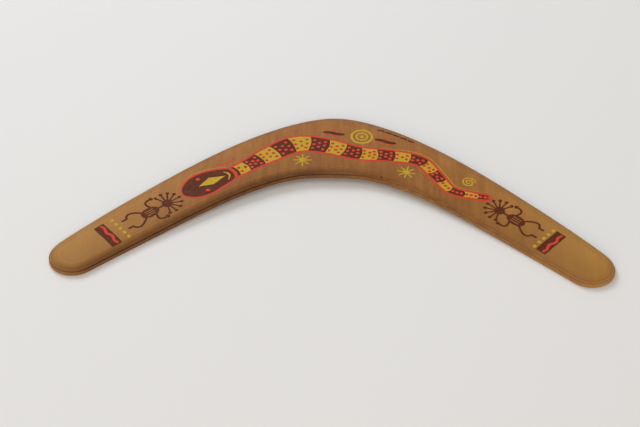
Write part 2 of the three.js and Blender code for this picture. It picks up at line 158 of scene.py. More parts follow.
def rimDistance(x, y):
    spot = flat(x, y)
    nearest, index, gap = rimTree.find(spot)
    for other in (rimPoints[index - 1], rimPoints[(index + 1) % len(rimPoints)]):
        foot, share = intersect_point_line(spot, nearest, other)
        if 0 < share < 1:
            gap = min(gap, (foot - spot).length)
    return gap


def acrossShare(x, y):  # 0 at the front edge, 1 at the back edge
    front, back = (tree.find(flat(abs(x), y))[2] for tree in edgeTrees)
    return front / (front + back)


# The board: five plies and four glue lines, sliced out of one bevelled solid.

board = inMillimetres({
    "veneer": 1.3,
    "glue": 0.125,
    "glueSetBack": 0.12,  # the glue has sunk a little below the sanded edge
    "upperBevel": 8,
    "lowerBevel": 1.2,
    "lowerDepth": 1,
    "warpRise": 5,
    "tipFlat": 44,
    "rimPitch": 2.4,
    "facePitch": 5,
    "innerPitch": 15,
})
plyNames = ["back_veneer", "lower_cross_veneer", "core_veneer", "upper_cross_veneer", "face_veneer"]
plySlots = ["face_wood", "cross_wood", "core_wood", "cross_wood", "face_wood"]
plyPitch = board["veneer"] + board["glue"]
thickness = 5 * plyPitch - board["glue"]
shoulder = thickness - 2 * plyPitch
bevelDepth = thickness - shoulder
creaseStart = 0.85  # shares of the bevel's width between which its crease is rounded over
creaseEnd = 1.18
bevelSteps = 12
creaseSteps = 6
underSteps = 4


def lift(x, y):
    reach = outline["tipReach"] - board["tipFlat"]
    share = max(0, 1 - (x / reach) ** 2) ** 2
    return board["warpRise"] * share * (-middleY - y) / outline["elbowWidth"]


def bevelRise(share):  # height of the bevel's surface, for a distance in from the rim
    if share >= creaseEnd:
        return 1
    if share <= creaseStart:
        return math.sqrt(max(0, share))
    span = creaseEnd - creaseStart
    part = (share - creaseStart) / span
    low = math.sqrt(creaseStart)
    slope = span / (2 * low)
    return (
        low * (2 * part**3 - 3 * part**2 + 1)
        + slope * (part**3 - 2 * part**2 + part)
        + (3 * part**2 - 2 * part**3)
    )


def faceHeight(x, y):
    return shoulder + bevelDepth * bevelRise(rimDistance(x, y) / board["upperBevel"]) + lift(x, y)


def insetBy(bm, face, steps):  # steps of (how far in from the rim, how far along the face's normal)
    lastIn, lastUp = 0, 0
    for inward, upward in steps:
        bmesh.ops.inset_region(
            bm, faces=[face], thickness=inward - lastIn, depth=upward - lastUp, use_even_offset=True
        )
        lastIn, lastUp = inward, upward


def boardSolid(setBack=0):
    bm = bmesh.new()
    low = Vector((0, 0, board["lowerDepth"]))
    row = [bm.verts.new(point + low) for point in halfRim(board["rimPitch"])]
    for a, b in zip(row, row[1:]):
        bm.edges.new((a, b))
    bmesh.ops.mirror(bm, geom=bm.verts[:] + bm.edges[:], matrix=Matrix(), merge_dist=0.01 * mm, axis="X")
    bmesh.ops.contextual_create(bm, geom=bm.edges[:])
    under = bm.faces[:][0]
    if under.normal.z > 0:
        under.normal_flip()
    made = bmesh.ops.extrude_face_region(bm, geom=[under], use_keep_orig=True)
    over = next(item for item in made["geom"] if isinstance(item, bmesh.types.BMFace))
    bmesh.ops.translate(bm, verts=over.verts[:], vec=Vector((0, 0, shoulder - board["lowerDepth"])))
    bmesh.ops.recalc_face_normals(bm, faces=bm.faces[:])
    if setBack:
        for face in (over, under):
            insetBy(bm, face, [(setBack, 0)])
    shares = [(0.9 * creaseStart) * (i / bevelSteps) ** 2 for i in range(1, bevelSteps + 1)]
    shares += [creaseStart + (creaseEnd - creaseStart) * i / creaseSteps for i in range(creaseSteps + 1)]
    insetBy(bm, over, [(share * board["upperBevel"], bevelDepth * bevelRise(share)) for share in shares])
    insetBy(bm, under, [
        (board["lowerBevel"] * (i / underSteps) ** 2, board["lowerDepth"] * i / underSteps)
        for i in range(1, underSteps + 1)
    ])
    return bm


def cutGrid(bm, pitch):
    spans = [[min(v.co[axis] for v in bm.verts), max(v.co[axis] for v in bm.verts)] for axis in (0, 1)]
    for axis, (low, high) in enumerate(spans):
        normal = Vector((axis == 0, axis == 1, 0))
        count = int(high / pitch) - int(low / pitch) + 1
        for i in range(count):
            place = (int(low / pitch) + i) * pitch
            bmesh.ops.bisect_plane(
                bm, geom=bm.verts[:] + bm.edges[:] + bm.faces[:], dist=0.002 * mm,
                plane_co=normal * place, plane_no=normal,
            )


def sliceLevel(bm, height, keepAbove):
    bmesh.ops.bisect_plane(
        bm, geom=bm.verts[:] + bm.edges[:] + bm.faces[:], dist=0.001 * mm,
        plane_co=Vector((0, 0, height)), plane_no=Vector((0, 0, 1)),
        clear_inner=keepAbove, clear_outer=not keepAbove,
    )
    rims = [edge for edge in bm.edges if edge.is_boundary]
    for edge in rims:
        edge.smooth = False
    bmesh.ops.holes_fill(bm, edges=rims, sides=0)


def finishPiece(name, bm, material, nodes=()):
    mesh = bpy.data.meshes.new(name)
    for face in bm.faces:
        face.smooth = True
    bm.to_mesh(mesh)
    bm.free()
    piece = bpy.data.objects.new(name, mesh)
    bpy.context.scene.collection.objects.link(piece)
    mesh.materials.append(material)
    if nodes:
        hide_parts(*nodes)
    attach(piece, "root")
    return piece


def buildLayer(name, solid, bottom, top, pitch, material):
    bm = solid.copy()
    if bottom > 0:
        sliceLevel(bm, bottom, True)
    if top < thickness:
        sliceLevel(bm, top, False)
    cutGrid(bm, pitch)
    rim = bm.verts.layers.float.new("rim")
    level = bm.verts.layers.float.new("level")
    across = bm.verts.layers.float.new("across")
    for vert in bm.verts:
        vert[rim] = rimDistance(vert.co.x, vert.co.y) / mm
        vert[level] = vert.co.z / mm
        vert[across] = acrossShare(vert.co.x, vert.co.y)
        vert.co.z += lift(vert.co.x, vert.co.y)
    bmesh.ops.recalc_face_normals(bm, faces=bm.faces[:])
    return finishPiece(name + "_fine", bm, material, [name])


def linear(hexText):  # sRGB hex to linear
    channels = [int(hexText[i:i + 2], 16) / 255 for i in (0, 2, 4)]
    return [c / 12.92 if c <= 0.04045 else ((c + 0.055) / 1.055) ** 2.4 for c in channels] + [1]


def addNode(material, kind, inputs, stops=(), **settings):
    node = material.node_tree.nodes.new(kind)
    for name, value in settings.items():
        setattr(node, name, value)
    for name, value in inputs.items():
        if isinstance(value, bpy.types.NodeSocket):
            material.node_tree.links.new(value, node.inputs[name])
        else:
            node.inputs[name].default_value = value
    for i, (place, colour) in enumerate(stops):
        elements = node.color_ramp.elements
        element = elements[i] if i < len(elements) else elements.new(place)
        element.position, element.color = place, colour
    return node


def newMaterial(name):
    material = bpy.data.materials.new(name)
    material.use_nodes = True
    material.node_tree.nodes.clear()
    return material


# Sliced hoop-pine veneer under worn varnish: fine straight fibres, short dark pores, clouds of age.
# The rim tones run from the rim inwards: painted shade that darkens the bevel and the board's edge.
woods = {
    "face_wood": {
        "dark": "915d2a",
        "base": "9d672f",
        "light": "a67134",
        "tip": "b0833e",
        "rim": [(0, 0.5), (0.17, 0.36), (0.3, 0.52), (0.55, 0.78), (0.7, 1.04), (0.82, 0.92), (1, 1)],
        "grain": "y",
    },
    "cross_wood": {
        "dark": "98632f",
        "base": "ab763c",
        "light": "bd8c4c",
        "tip": "cc9a58",
        "rim": [(0, 0.4), (0.06, 0.42), (0.14, 0.46)],
        "grain": "x",
    },
    "core_wood": {
        "dark": "935d2a",
        "base": "ac7538",
        "light": "bf8a46",
        "tip": "c08c4a",
        "rim": [(0, 0.5), (1, 0.5)],
        "grain": "y",
    },
}
woodPatterns = {  # along what, size in mm, detail, roughness, and the tones it multiplies in
    "clouds": ("place", 45, 4, 0.55, [(0.3, 0.85), (0.7, 1.12)]),  # blotches in the varnish
    "fibres": ("grain", 0.7, 4, 0.6, [(0.3, 0.84), (0.7, 1.1)]),
    "pores": ("grain", 0.4, 1, 0.5, [(0.26, 0.72), (0.34, 1)]),
    "sanding": ("sanding", 1.1, 3, 0.5, [(0.3, 0.94), (0.7, 1.05)]),
    "scuffs": ("place", 14, 5, 0.7, [(0.66, 1), (0.72, 1.22)]),
}
rimReach = 12  # mm that the rim and brink tones cover
brinkShadeTones = [(0, 1), (0.01, 0.68), (0.15, 0.8), (0.2, 1)]  # painted shade on the sanded brink above the board's edge, where it catches the light
acrossShadeAndSheen = [(0, 0.8), (0.5, 1), (1, 1.24)]  # front edge to back edge: painted shade at the front, painted sheen at the back
levelTones = [  # up the board's edge: painted shade at the bottom, where the edge turns under, and a dark line under the bevel
    (0, 0.45), (0.16, 0.95), (0.52, 1), (0.59, 0.32), (0.65, 0.34), (0.74, 1),
]
ageingAndShade = {
    "band": 5,  # mm, early and late wood
    "stretch": 0.05,  # a pattern is twenty times longer along the grain
    "paleFrom": 0.1,  # m out from the middle: the tips are paler and more golden
    "paleTo": 0.21,
    "paleShare": 0.6,
    "shadeFadeFrom": -0.03,  # m to the right: the painted shade on the edges is strongest on the left arm
    "shadeFadeTo": 0.06,
    "leastEdgeShade": 0.3,
    "leastRough": 0.5,  # the varnish has gone dull
    "mostRough": 0.66,
    "specular": 0.25,
    "relief": 0.2,
    "reliefDepth": 0.05 * mm,
}


def warmTones(stops):  # what darkens the wood, painted shade included, turns it redder too
    return [(place, (value**0.85, value, value**1.25, 1)) for place, value in stops]


def makeWood(name, look):
    material = newMaterial(name)
    stretches = {"x": [ageingAndShade["stretch"], 1, 1], "y": [1, ageingAndShade["stretch"], 1]}
    vectors = {"place": addNode(material, "ShaderNodeTexCoord", {}).outputs["Object"]}
    for course, axis in (("grain", look["grain"]), ("sanding", "y" if look["grain"] == "x" else "x")):
        inputs = {"Vector": vectors["place"], "Scale": stretches[axis]}
        vectors[course] = addNode(material, "ShaderNodeMapping", inputs).outputs["Vector"]
    bands = addNode(
        material, "ShaderNodeTexNoise",
        {"Vector": vectors["grain"], "Scale": 1 / (ageingAndShade["band"] * mm), "Detail": 3},
    ).outputs["Fac"]
    tone = addNode(
        material, "ShaderNodeValToRGB", {"Fac": bands},
        [(0.25, linear(look["dark"])), (0.5, linear(look["base"])), (0.75, linear(look["light"]))],
    ).outputs["Color"]
    noises = {}
    for pattern, (course, size, detail, roughness, stops) in woodPatterns.items():
        inputs = {
            "Vector": vectors[course], "Scale": 1 / (size * mm), "Detail": detail, "Roughness": roughness,
        }
        noises[pattern] = addNode(material, "ShaderNodeTexNoise", inputs).outputs["Fac"]
        factor = addNode(
            material, "ShaderNodeValToRGB", {"Fac": noises[pattern]}, warmTones(stops)
        ).outputs["Color"]
        tone = addNode(
            material, "ShaderNodeMix", {0: 1, 6: tone, 7: factor}, data_type="RGBA", blend_type="MULTIPLY"
        ).outputs[2]
    reach = addNode(
        material, "ShaderNodeVectorMath", {0: vectors["place"]}, operation="LENGTH"
    ).outputs["Value"]
    golden = addNode(
        material, "ShaderNodeMapRange",
        {
            "Value": reach, "From Min": ageingAndShade["paleFrom"], "From Max": ageingAndShade["paleTo"],
            "To Max": ageingAndShade["paleShare"],
        },
    ).outputs["Result"]
    tone = addNode(
        material, "ShaderNodeMix", {0: golden, 6: tone, 7: linear(look["tip"])}, data_type="RGBA"
    ).outputs[2]
    across = addNode(material, "ShaderNodeAttribute", {}, attribute_name="across").outputs["Fac"]
    # The across tones are painted shade and sheen, the brink and rim tones painted shade, the level tones
    # painted shade and a dark line.
    for attribute, most, stops in (
        ("across", 1, acrossShadeAndSheen), ("rim", rimReach, brinkShadeTones),
        ("level", thickness / mm, levelTones), ("rim", rimReach, look["rim"]),
    ):
        if attribute == "level":
            beforeWeightedShade = tone  # before the weighted painted shade
        value = addNode(material, "ShaderNodeAttribute", {}, attribute_name=attribute).outputs["Fac"]
        share = addNode(material, "ShaderNodeMapRange", {"Value": value, "From Max": most}).outputs["Result"]
        factor = addNode(material, "ShaderNodeValToRGB", {"Fac": share}, warmTones(stops)).outputs["Color"]
        tone = addNode(
            material, "ShaderNodeMix", {0: 1, 6: tone, 7: factor}, data_type="RGBA", blend_type="MULTIPLY"
        ).outputs[2]
    sideways = addNode(material, "ShaderNodeSeparateXYZ", {"Vector": vectors["place"]}).outputs["X"]
    # Painted shade: the level and rim tones count in full on the left arm and along the front edge, less
    # towards the right arm and the back.
    leftArmShade = addNode(
        material, "ShaderNodeMapRange",
        {
            "Value": sideways, "From Min": ageingAndShade["shadeFadeFrom"], "From Max": ageingAndShade["shadeFadeTo"],
            "To Min": 1, "To Max": ageingAndShade["leastEdgeShade"],
        },
    ).outputs["Result"]
    frontEdgeShade = addNode(
        material, "ShaderNodeMapRange", {"Value": across, "To Min": 1, "To Max": ageingAndShade["leastEdgeShade"]}
    ).outputs["Result"]
    edgeShadeWeight = addNode(
        material, "ShaderNodeMath", {0: leftArmShade, 1: frontEdgeShade}, operation="MULTIPLY"
    ).outputs["Value"]
    tone = addNode(material, "ShaderNodeMix", {0: edgeShadeWeight, 6: beforeWeightedShade, 7: tone}, data_type="RGBA").outputs[2]
    gloss = addNode(
        material, "ShaderNodeMapRange",
        {"Value": noises["clouds"], "To Min": ageingAndShade["leastRough"], "To Max": ageingAndShade["mostRough"]},
    ).outputs["Result"]
    relief = addNode(
        material, "ShaderNodeBump",
        {"Height": noises["fibres"], "Strength": ageingAndShade["relief"], "Distance": ageingAndShade["reliefDepth"]},
    ).outputs["Normal"]
    shader = addNode(
        material, "ShaderNodeBsdfPrincipled",
        {
            "Base Color": tone, "Roughness": gloss, "Normal": relief, "IOR": 1.45,
            "Specular IOR Level": ageingAndShade["specular"],
        },
    ).outputs["BSDF"]
    addNode(material, "ShaderNodeOutputMaterial", {"Surface": shader})
    return material


# Old glue: a dark hard line between the plies.
def makeGlue(name):
    material = newMaterial(name)
    place = addNode(material, "ShaderNodeTexCoord", {}).outputs["Object"]
    grit = addNode(  # 3 mm patches
        material, "ShaderNodeTexNoise", {"Vector": place, "Scale": 300, "Detail": 3}
    ).outputs["Fac"]
    tone = addNode(
        material, "ShaderNodeValToRGB", {"Fac": grit}, [(0.35, linear("2c1709")), (0.65, linear("5a3417"))]
    ).outputs["Color"]
    shader = addNode(
        material, "ShaderNodeBsdfPrincipled", {"Base Color": tone, "Roughness": 0.55, "IOR": 1.5}
    ).outputs["BSDF"]
    addNode(material, "ShaderNodeOutputMaterial", {"Surface": shader})
    return material


# Brushed poster paint under the varnish: even colour with faint brush marks and thin places.
paints = {
    "brown_paint": {"thin": "6a3315", "full": "59260b"},
    "red_paint": {"thin": "b8462c", "full": "d0442e"},
    "red_on_brown": {"thin": "b8402c", "full": "d84a32"},  # the ground shows through a little
    "red_on_yellow": {"thin": "bb3a2c", "full": "c62f34"},
    "yellow_paint": {"thin": "b88c2a", "full": "c5a427"},
}
brushing = {
    "marks": 420,  # brush marks, 2.4 mm
    "leastRough": 0.55,
    "mostRough": 0.7,
    "specular": 0.2,
    "relief": 0.25,
    "reliefDepth": 0.05 * mm,
}


def makePaint(name, look):
    material = newMaterial(name)
    place = addNode(material, "ShaderNodeTexCoord", {}).outputs["Object"]
    brushed = addNode(
        material, "ShaderNodeTexNoise",
        {"Vector": place, "Scale": brushing["marks"], "Detail": 4, "Roughness": 0.6},
    ).outputs["Fac"]
    tone = addNode(
        material, "ShaderNodeValToRGB", {"Fac": brushed},
        [(0.3, linear(look["thin"])), (0.5, linear(look["full"]))],
    ).outputs["Color"]
    gloss = addNode(
        material, "ShaderNodeMapRange",
        {"Value": brushed, "To Min": brushing["leastRough"], "To Max": brushing["mostRough"]},
    ).outputs["Result"]
    relief = addNode(
        material, "ShaderNodeBump",
        {"Height": brushed, "Strength": brushing["relief"], "Distance": brushing["reliefDepth"]},
    ).outputs["Normal"]
    shader = addNode(
        material, "ShaderNodeBsdfPrincipled",
        {
            "Base Color": tone, "Roughness": gloss, "Normal": relief, "IOR": 1.45,
            "Specular IOR Level": brushing["specular"],
        },
    ).outputs["BSDF"]
    addNode(material, "ShaderNodeOutputMaterial", {"Surface": shader})
    return material


materials = {name: makeWood(name, look) for name, look in woods.items()}
materials["glue"] = makeGlue("glue")
for name, look in paints.items():
    materials[name] = makePaint(name, look)
print("materials: wood, glue and paint")

veneerSolid = boardSolid()
glueSolid = boardSolid(board["glueSetBack"])
for i, name in enumerate(plyNames):
    bottom = i * plyPitch
    top = bottom + board["veneer"]
    pitch = board["facePitch"] if name in ("face_veneer", "back_veneer") else board["innerPitch"]
    buildLayer(name, veneerSolid, bottom, top, pitch, materials[plySlots[i]])
    if i + 1 < len(plyNames):
        buildLayer(
            "glue_line_" + str(i + 1), glueSolid, top, top + board["glue"], board["innerPitch"],
            materials["glue"],
        )
veneerSolid.free()
glueSolid.free()
print("board: five veneers and four glue lines")


armLength = (backEdge[1][-1] + frontEdge[1][-1]) / 2
armSigns = {"left": -1, "right": 1}


def fromTip(length):  # the station that lies a length inside the tip root
    return 1 - length / armLength


def facePlace(along, across):  # along: -1 to 1 from tip to tip; across: -1 front to 1 back
    share = abs(along)
    point = pointOn(frontEdge, share).lerp(pointOn(backEdge, share), (across + 1) / 2)
    return flat(math.copysign(point.x, along), point.y - middleY)


def faceWidth(along):
    gap = pointOn(backEdge, abs(along)) - pointOn(frontEdge, abs(along))
    return gap.length - 2 * board["upperBevel"]


def armFrame(along, across):  # u runs towards the tip, v towards the back edge
    side = math.copysign(1, along)
    tangent = (headingOn(backEdge, abs(along)) + headingOn(frontEdge, abs(along))).normalized()
    uAxis, vAxis = flat(side * tangent.x, tangent.y), flat(-side * tangent.y, tangent.x)
    origin = facePlace(along, across)
    return lambda u, v: origin + uAxis * u + vAxis * v


# What the brush leaves: each stroke or dab is a closed loop of points.
roundSteps = 28
dab = {"long": 1.08, "longVary": 0.12, "short": 0.94, "shortVary": 0.1, "turn": 2}


def disc(centre, radius, steps):
    turns = [2 * math.pi * i / steps for i in range(steps)]
    return [centre + flat(math.cos(turn), math.sin(turn)) * radius for turn in turns]


def ovalDot(centre, radius, steps=16):  # a dab of the brush tip, never quite round
    spin = noise.noise_vector(centre / mm)
    long = radius * (dab["long"] + dab["longVary"] * spin.x)
    short = radius * (dab["short"] - dab["shortVary"] * spin.y)
    turn = Matrix.Rotation(spin.z * dab["turn"], 3, "Z")
    return [
        centre + turn @ flat(long * math.cos(step), short * math.sin(step))
        for step in (2 * math.pi * i / steps for i in range(steps))
    ]


def bend(start, middle, end, steps=18):
    shares = [i / steps for i in range(steps + 1)]
    return [start.lerp(middle, share).lerp(middle.lerp(end, share), share) for share in shares]


def sidesOf(corners, steps):  # a border through corners, with steps along each side
    sides = zip(corners, corners[1:] + corners[:1])
    return [a.lerp(b, i / steps) for a, b in sides for i in range(steps)]


def brushStroke(path, width, tip=1, capSteps=6):  # tip: width at the ends over that in the middle
    count = len(path)
    left, right = [], []
    for i, point in enumerate(path):
        tangent = (path[min(i + 1, count - 1)] - path[max(i - 1, 0)]).normalized()
        normal = flat(-tangent.y, tangent.x)
        swell = tip + (1 - tip) * math.sin(math.pi * i / (count - 1))
        left.append(point + normal * width * swell / 2)
        right.append(point - normal * width * swell / 2)

    def cap(end, fromSide):
        spoke = fromSide - end
        turns = [-math.pi * i / capSteps for i in range(1, capSteps)]
        return [end + Matrix.Rotation(turn, 3, "Z") @ spoke for turn in turns]

    return left + cap(path[-1], left[-1]) + right[::-1] + cap(path[0], right[0])


hand = inMillimetres({
    "sway": 0.22,  # how far a border strays
    "wave": 6,  # over what length
    "sink": 0.04,  # the film's underside lies below the face
    "film": 0.02,
    "coatStep": 0.012,
    "lip": 0.012,
    "cut": 1,
})


def wobble(point):  # an unsteady hand
    sway = noise.noise_vector(point / hand["wave"])
    return point + flat(sway.x, sway.y) * hand["sway"]


def loopEdges(bm, loop):
    verts = [bm.verts.new(wobble(point)) for point in loop]
    return [bm.edges.new(pair) for pair in zip(verts, verts[1:] + verts[:1])]


def fillLoops(bm, loops):  # one loop is filled, two are bridged
    edges = [edge for loop in loops for edge in loopEdges(bm, loop)]
    if len(loops) == 2:
        return bmesh.ops.bridge_loops(bm, edges=edges)["faces"]
    return bmesh.ops.contextual_create(bm, geom=edges)["faces"]


def raiseFilm(bm, height):
    made = bmesh.ops.extrude_face_region(bm, geom=bm.faces[:], use_keep_orig=True)
    top = [item for item in made["geom"] if isinstance(item, bmesh.types.BMVert)]
    bmesh.ops.translate(bm, verts=top, vec=Vector((0, 0, height)))
    bmesh.ops.recalc_face_normals(bm, faces=bm.faces[:])


def softenTop(bm, height):
    brink = [
        edge for edge in bm.edges
        if all(vert.co.z > height / 2 for vert in edge.verts)
        and any(abs(face.normal.z) < 0.5 for face in edge.link_faces)
    ]
    bmesh.ops.bevel(
        bm, geom=brink, offset=hand["lip"], offset_type="OFFSET", segments=1, profile=0.5,
        affect="EDGES", material=-1, clamp_overlap=True,
    )


def layOnFace(bm):
    cutGrid(bm, hand["cut"])
    for vert in bm.verts:
        vert.co.z += faceHeight(vert.co.x, vert.co.y) - hand["sink"]


def paintPiece(name, shapes, material, coat=1, nodes=()):  # coat: 1 went on first, 5 last
    bm = bmesh.new()
    for loops in shapes:
        fillLoops(bm, loops)
    height = hand["sink"] + hand["film"] + hand["coatStep"] * coat
    raiseFilm(bm, height)
    softenTop(bm, height)
    layOnFace(bm)
    return finishPiece(name, bm, materials[material], nodes)


# A brown block near each tip, with a wavy red stroke on it and a row of dots beside it.
block = inMillimetres({
    "leftReach": 34.2,  # from the tip root in to the block's middle
    "rightReach": 39.8,
    "length": 9.6,
    "margin": 0.2,
    "wave": 2.6,
    "waveSway": 0.8,
    "waveMargin": 0.65,
    "leftWave": -1.6,  # from the block's middle
    "rightWave": 1.6,
    "leftDotGap": 6,
    "rightDotGap": 0.8,
    "dotRoom": 1.75,
    "dot": 1.6,
})
blockAcross = {"left": -0.08, "right": -0.12}
borderSteps = 12
waveSteps = 60
waveTurns = 2
dotsPerRow = 5


def dotsFromTip(side):
    return block[side + "Reach"] + block["length"] / 2 + block[side + "DotGap"] + block["dotRoom"]


def buildBlock(side):
    along = fromTip(block[side + "Reach"])
    at = armFrame(armSigns[side] * along, blockAcross[side])
    width = faceWidth(along) - 2 * block["margin"]
    u, v = block["length"] / 2, width / 2
    border = sidesOf([at(-u, -v), at(u, -v), at(u, v), at(-u, v)], borderSteps)
    paintPiece(side + "_block_fine", [[border]], "brown_paint", nodes=[side + "_block"])
    path = []
    reach = width - block["wave"] - 2 * block["waveMargin"]
    for i in range(waveSteps + 1):
        sway = block["waveSway"] * math.sin(2 * math.pi * waveTurns * i / waveSteps)
        path.append(at(block[side + "Wave"] + sway, reach * (i / waveSteps - 0.5)))
    wave = brushStroke(path, block["wave"], tip=0.8)
    paintPiece(side + "_wave_fine", [[wave]], "red_paint", coat=4, nodes=[side + "_wave"])
    offset = block[side + "Reach"] - dotsFromTip(side)
    pitch = (width - 2 * block["dotRoom"]) / (dotsPerRow - 1)
    for i in range(dotsPerRow):
        spot = at(offset, pitch * (i - (dotsPerRow - 1) / 2))
        node = side + "_dot_" + str(i + 1)
        paintPiece(node + "_fine", [[ovalDot(spot, block["dot"], roundSteps)]], "yellow_paint", nodes=[node])


# A small figure on each arm. Its strokes are joined into one solid.
figure = inMillimetres({
    "gap": 3.6,  # between the dots and the feet
    "face": 4.6,
    "rayReach": 12,
    "ray": 1.4,
    "rayTip": 1.6,
    "bodyStart": 8.5,
    "bodyLength": 17,
    "bodyWidth": 11.2,
    "slot": 0.8,
    "slotPitch": 2.4,
    "slotLength": 7.5,
    "handReach": 14,
    "hand": 1.8,
    "palmIn": 1,
    "palmUp": 0.5,
    "elbowDown": 2,
    "kneeUp": 3,
    "legReach": 37,
    "heelIn": 0.5,
    "foot": 4.5,
    "footStroke": 2,
    "stroke": 1.9,
})
figureAcross = -0.09
rayCount = 9
rayPitch = 28  # degrees
rayRoot = 0.25  # share of a ray that lies in the face
bodySteps = 40


def figureFromTip(side):
    reach = figure["legReach"] + figure["foot"] + figure["footStroke"] / 4
    return dotsFromTip(side) + block["dotRoom"] + figure["gap"] + reach


def solidFrom(name, loops, height):
    bm = bmesh.new()
    for loop in loops:
        fillLoops(bm, [loop])
    raiseFilm(bm, height)
    mesh = bpy.data.meshes.new(name)
    bm.to_mesh(mesh)
    bm.free()
    solid = bpy.data.objects.new(name, mesh)
    bpy.context.scene.collection.objects.link(solid)
    return solid


def joinStrokes(loops, openings, height):
    whole = solidFrom("strokes", loops[1:], height)
    first = solidFrom("firstStroke", loops[:1], height)
    gaps = solidFrom("openings", openings, 3 * height)
    gaps.data.transform(Matrix.Translation((0, 0, -height)))
    for operand, operation in ((first, "UNION"), (gaps, "DIFFERENCE")):
        join = whole.modifiers.new(operation, "BOOLEAN")
        join.operation = operation
        join.solver = "EXACT"
        join.object = operand
        join.use_self = True
    done = whole.evaluated_get(bpy.context.evaluated_depsgraph_get())
    bm = bmesh.new()
    bm.from_mesh(done.to_mesh())
    for solid in (whole, first, gaps):
        bpy.data.objects.remove(solid)
    bmesh.ops.remove_doubles(bm, verts=bm.verts[:], dist=0.005 * mm)
    return bm


def buildFigure(side):
    at = armFrame(armSigns[side] * fromTip(figureFromTip(side)), figureAcross)
    length, width = figure["bodyLength"], figure["bodyWidth"]
    bodyMiddle = figure["bodyStart"] + length / 2
    loops = [
        disc(at(0, 0), figure["face"], roundSteps),
        brushStroke([at(0, 0), at(bodyMiddle, 0)], figure["stroke"]),
    ]
    for i in range(rayCount):
        turn = math.radians(180 + rayPitch * (i - (rayCount - 1) / 2))
        end = at(figure["rayReach"] * math.cos(turn), figure["rayReach"] * math.sin(turn))
        start = at(0, 0).lerp(end, rayRoot)
        loops += [brushStroke([start, end], figure["ray"]), ovalDot(end, figure["rayTip"])]
    turns = [2 * math.pi * i / bodySteps for i in range(bodySteps)]
    oval = [(length / 2 * math.cos(turn), width / 2 * math.sin(turn)) for turn in turns]
    loops.append([at(bodyMiddle + u, v) for u, v in oval])
    shoulderAt = figure["bodyStart"] + length / 4
    hipAt = figure["bodyStart"] + length * 4 / 5
    palmOut = figure["handReach"] - figure["palmIn"]
    for sideways in (-1, 1):
        palm = at(figure["bodyStart"] - figure["palmUp"], palmOut * sideways)
        elbow = at(bodyMiddle + figure["elbowDown"], figure["handReach"] * sideways)
        knee = at(figure["legReach"] - figure["kneeUp"], figure["handReach"] * sideways)
        heel = (width / 2 - figure["heelIn"]) * sideways
        ankle = at(figure["legReach"], heel)
        toe = at(figure["legReach"] + figure["foot"] - figure["footStroke"] / 4, heel)
        arm = bend(at(shoulderAt, width / 4 * sideways), elbow, palm)
        leg = bend(at(hipAt, width / 4 * sideways), knee, ankle)
        loops += [brushStroke(arm, figure["stroke"]), ovalDot(palm, figure["hand"])]
        loops += [brushStroke(leg, figure["stroke"]), brushStroke([ankle, toe], figure["footStroke"])]
    openings = []
    for v in (-figure["slotPitch"], 0, figure["slotPitch"]):
        ends = [at(bodyMiddle - figure["slotLength"] / 2, v), at(bodyMiddle + figure["slotLength"] / 2, v)]
        openings.append(brushStroke(ends, figure["slot"]))
    bm = joinStrokes(loops, openings, hand["sink"] + hand["film"] + hand["coatStep"])
    layOnFace(bm)
    finishPiece(side + "_figure_fine", bm, materials["brown_paint"], [side + "_figure"])


# The snake runs along both arms, between the figures.
snake = inMillimetres({
    "noseGap": 2.4,  # between the left figure's rays and the nose
    "outline": 1.8,
    "headLength": 47,
    "headWidth": 27,
    "neckWidth": 13,
    "bodyWidth": 20.5,
    "tailWidth": 5.5,
    "tailRound": 5,
    "ring": 2.4,
    "bow": 1.6,
    "overlap": 0.35,  # how far a later coat runs over an earlier one
    "crescent": 1.69,
    "eye": 1.9,
    "dot": 1.4,
    "dotStray": 0.6,
    "longBand": 9.5,  # a longer one has three columns of dots
    "slim": 13,  # a slimmer stretch has fewer dots in a column
    "slimmer": 9,
    "trim": 0.7,
    "trimGap": 0.4,
    "step": 1.2,
})
headLean = 0.85
headFullness = 0.7
grownShare = 0.25
bandPairs = 9
bandShrink = 0.68
bandGrowth = [0.6, 0.85]
snakeTurns = [  # share of the way out to that end, place across the arm
    (-1, -0.06), (-0.81, -0.09), (-0.64, -0.16), (-0.415, 0), (-0.23, 0.13), (-0.053, -0.07), (0.137, -0.26),
    (0.326, -0.08), (0.515, 0.17), (0.644, -0.1), (0.756, -0.36), (0.893, -0.12), (1, 0.2),
]
headMarks = {  # share of the head's length, place across it
    "lozenge": [(0.3, 0), (0.56, 0.36), (0.84, 0), (0.56, -0.36)],
    "crescent": [(0.86, 0.55), (0.98, 0), (0.86, -0.55)],
    "back_eye": (0.4, 0.62),
    "front_eye": (0.4, -0.62),
}
dotColumns = {  # share of the band's length, how far the column spreads across it
    "neck": [(0.3, 0.45), (0.75, 0)],
    "long": [(0.2, 0.6), (0.5, 0.3), (0.8, 0.6)],
    "short": [(0.3, 0.55), (0.75, 0.3)],
}
fullSpread = 0.5  # a column that spreads further has a middle dot too
slimRows = [-0.4, 0.4]
dotBow = 0.4  # share of the borders' bow that the columns leave out
dotInset = 0.95
trimShares = [(0.2, 1), (0.62, 0.97)]  # of the head's length, and of the whole snake's

headAlong = fromTip(figureFromTip("left") + figure["rayReach"] + figure["rayTip"] + snake["noseGap"])
tailAlong = fromTip(figureFromTip("right") + figure["rayReach"])


def splineRoute(points, steps=60):
    spread = [points[0]] + points + [points[-1]]
    row = []
    for before, start, end, after in zip(spread, spread[1:], spread[2:], spread[3:]):
        leave, arrive = start + (end - before) / 6, end - (after - start) / 6
        row += interpolate_bezier(start, leave, arrive, end, steps)[:-1]
    return routeOf(row + [points[-1]])


snakeLine = splineRoute(
    [facePlace(out * (headAlong if out < 0 else tailAlong), across) for out, across in snakeTurns]
)
snakeLength = snakeLine[1][-1]
firstRing = snake["headLength"] + snake["ring"]
firstBand = snake["headLength"] + 2 * snake["ring"]


